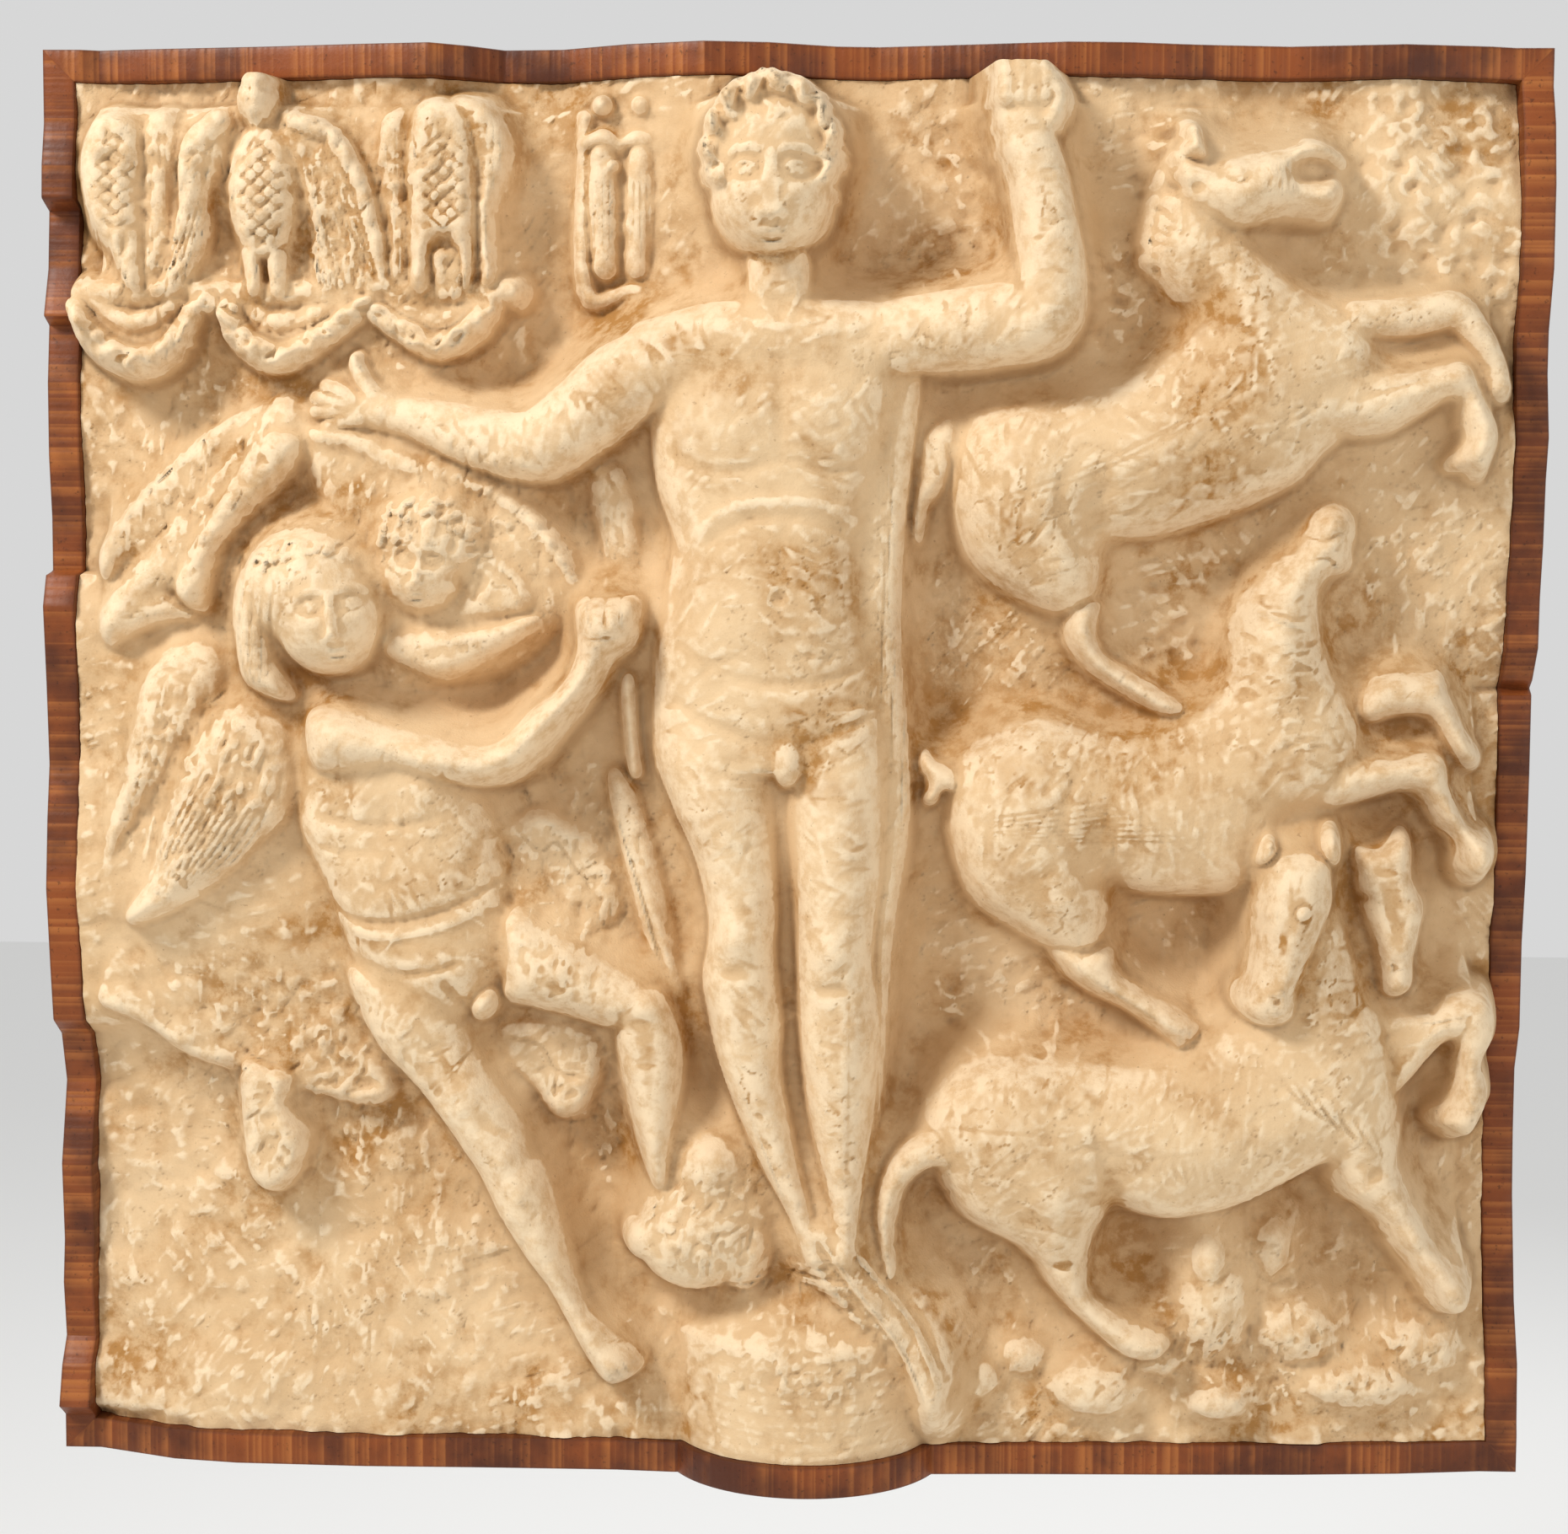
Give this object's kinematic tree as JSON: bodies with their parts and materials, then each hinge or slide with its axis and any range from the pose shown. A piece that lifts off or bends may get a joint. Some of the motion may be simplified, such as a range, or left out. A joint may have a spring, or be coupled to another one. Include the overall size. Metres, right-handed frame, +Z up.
{
  "type": "framed plaster relief plaque",
  "caption": "Square wall plaque: a deep modelled plaster relief of figures, horses and eagles in a wavy-edged walnut board frame.",
  "frame": {"origin": "the middle of the flat back, where the plaque lies on the wall", "axes": "+Z up, -Y out of the wall to the viewer, +X to the viewer's right, +Y into the wall"},
  "size_m": [0.72, 0.1304, 0.688],
  "materials": {
    "plaster": "cream plaster with ochre and brown patina in the hollows, matt with a faint wax sheen on the heights",
    "walnut": "red-brown oiled walnut, sawn across the front edges"
  },
  "bodies": {
    "root": {"relief": "plaster", "frame_top": "walnut", "frame_bottom": "walnut", "frame_left": "walnut", "frame_right": "walnut"}
  },
  "joints": []
}
